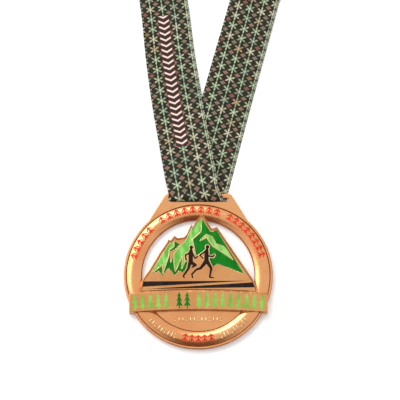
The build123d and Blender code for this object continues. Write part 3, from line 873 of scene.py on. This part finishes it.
def make_light():
    """White surroundings, darker behind the camera, a window up to the left and a strip above."""
    world = bpy.data.worlds.new("studio")
    bpy.context.scene.world = world
    world.use_nodes = True
    tree = world.node_tree
    background = tree.nodes["Background"]
    direction = add(tree, "ShaderNodeTexCoord").outputs["Generated"]
    axes = add(tree, "ShaderNodeSeparateXYZ", {0: direction}).outputs
    aside = spread(tree, calc(tree, "ABSOLUTE", axes[0]), 0.14, 0.42, 1.0, 0.0)
    low = spread(tree, axes[1], -0.12, -0.26, 0.0, 1.0)
    dark = calc(tree, "MULTIPLY", aside, low)
    below = spread(tree, axes[1], -0.25, -0.8)
    room = blend_colours(tree, below, ROOM_WHITE, ROOM_GREY)
    shade = blend_colours(tree, dark, room, ROOM_BROWN)
    tree.links.new(shade, background.inputs[0])
    background.inputs[1].default_value = 1.0
    soft_light("window", *WINDOW)
    soft_light("top_strip", *TOP_STRIP)
    bpy.context.scene.view_settings.view_transform = "Standard"
    bpy.context.scene.view_settings.look = "None"


# ---- The object ----


def finish_metal_and_enamel():
    """Gives every medal node its finish, and returns the plates' metal."""
    ring = copper("copper_ring", RING_WARM, RING_PALE, 0.2, 0.00003, SHADE_AND_TARNISH_LINES)
    plate = copper("copper_plates", PLATE_WARM, PLATE_PALE, 0.24, 0.00004)
    light = enamel("light_green_enamel", *LIGHT_GREEN)
    fir = enamel("banner_green_enamel", *BANNER_GREEN)
    dark = enamel("dark_green_enamel", *DARK_GREEN)
    black = enamel("black_enamel", *BLACK)
    red = enamel("red_enamel", *RED)
    by_start = [
        ("base_ring", ring),
        ("mountain_plate", plate),
        ("banner_plate", plate),
        ("slope_light", light),
        ("slope_dark", dark),
        ("banner_fir_middle", dark),
        ("banner_fir", fir),
        ("runner", black),
        ("road", black),
        ("arc_mark", red),
        ("lower_marks", red),
    ]
    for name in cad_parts:
        chosen = [finish for start, finish in by_start if name.startswith(start)]
        if chosen:
            node = bpy.data.objects[name]
            node.data.materials.clear()
            node.data.materials.append(chosen[0])
    return plate


def raised_lines(metal):
    """Rounded lines round the mountain, a dark painted-shade line just inside its outline, and finer lines
    round its fields in a paler copper that is a painted highlight; returns that highlight metal.
    """
    # Paler copper for the field lines and beads: a painted highlight
    bright = copper("painted_highlight_lines", HIGHLIT_LINE_WARM, HIGHLIT_LINE_PALE, 0.26, 0.00002)
    # A dark brown line just inside the mountain's outline is painted shade along its edges
    painted_shade_metal = copper("painted_shade_lines", SHADE_LINE_BROWN, SHADE_LINE_BROWN_PALE, 0.35, 0.00002)
    shaded = inset(top_outlines("mountain_plate")[0], SHADE_LINE_INSET * MM)
    put_on_medal(rounded_line("mountain_shade_line", [shaded], SHADE_LINE_RADIUS, SHADE_LINE_HEIGHT), painted_shade_metal)
    lines = [("mountain_outline", "mountain_plate", OUTLINE_RADIUS, OUTLINE_HEIGHT, 1, metal)]
    for name in sorted(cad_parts):
        if name.startswith("slope_"):
            lines.append((name + "_line", name, FIELD_LINE_RADIUS, FIELD_LINE_HEIGHT, None, bright))
    for name, node, radius, height, kept, finish in lines:
        put_on_medal(rounded_line(name, top_outlines(node)[:kept], radius, height), finish)
    return bright


def put_on_medal(piece, finish):
    """Gives a metal detail its finish and puts it on the medal."""
    piece.data.materials.append(finish)
    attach(piece, "medal")


def bead_parts(index, length, short, shift):
    """The shift and length of the beads in one place: every third place has two short ones."""
    if index % 3:
        return [(0.0, length)]
    return [(-shift, short), (shift, short)]


def cast_beads(metal):
    """Small raised studs on the lower ring and the floor, in place of a maker's lettering."""
    beads = []
    for side in (-1, 1):
        for index in range(RING_BEADS):
            angle = 180 + side * (RING_BEADS_FROM + RING_BEADS_STEP * index)
            turn = math.radians(angle)
            for shift, length in bead_parts(index, *RING_BEAD_LENGTHS):
                reach = RING_BEADS_RADIUS + shift
                place = (-reach * math.sin(turn), reach * math.cos(turn), RING_BEADS_HEIGHT)
                beads.append((*place, angle + 90, length, BEAD_WIDTH, BEAD_HEIGHT))
    for index in range(FLOOR_BEADS):
        x = (index - (FLOOR_BEADS - 1) / 2) * FLOOR_BEADS_STEP
        for shift, length in bead_parts(index, *FLOOR_BEAD_LENGTHS):
            place = (x, FLOOR_BEADS_Y + shift, FLOOR_BEADS_HEIGHT)
            beads.append((*place, 90, length, BEAD_WIDTH, BEAD_HEIGHT))
    # The beads get the paler painted-highlight copper
    put_on_medal(studs("cast_beads", beads), metal)


def main():
    """Sets the stage, finishes the metal, and lays the ribbon in place of its plain pieces."""
    make_camera()
    make_floor()
    make_light()
    highlit_metal = raised_lines(finish_metal_and_enamel())
    cast_beads(highlit_metal)
    ribbon = neck_ribbon()
    ribbon.data.materials.append(printed_satin())
    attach(ribbon, "ribbon")
    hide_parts("front_strap", "back_strap", "slot_turn")
    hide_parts("left_fold_stack", "right_fold_stack", "neck_crossing")
    stitches = lap_stitches()
    stitches.data.materials.append(twisted_thread())
    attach(stitches, "ribbon")
    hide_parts("seam_stitching")


main()
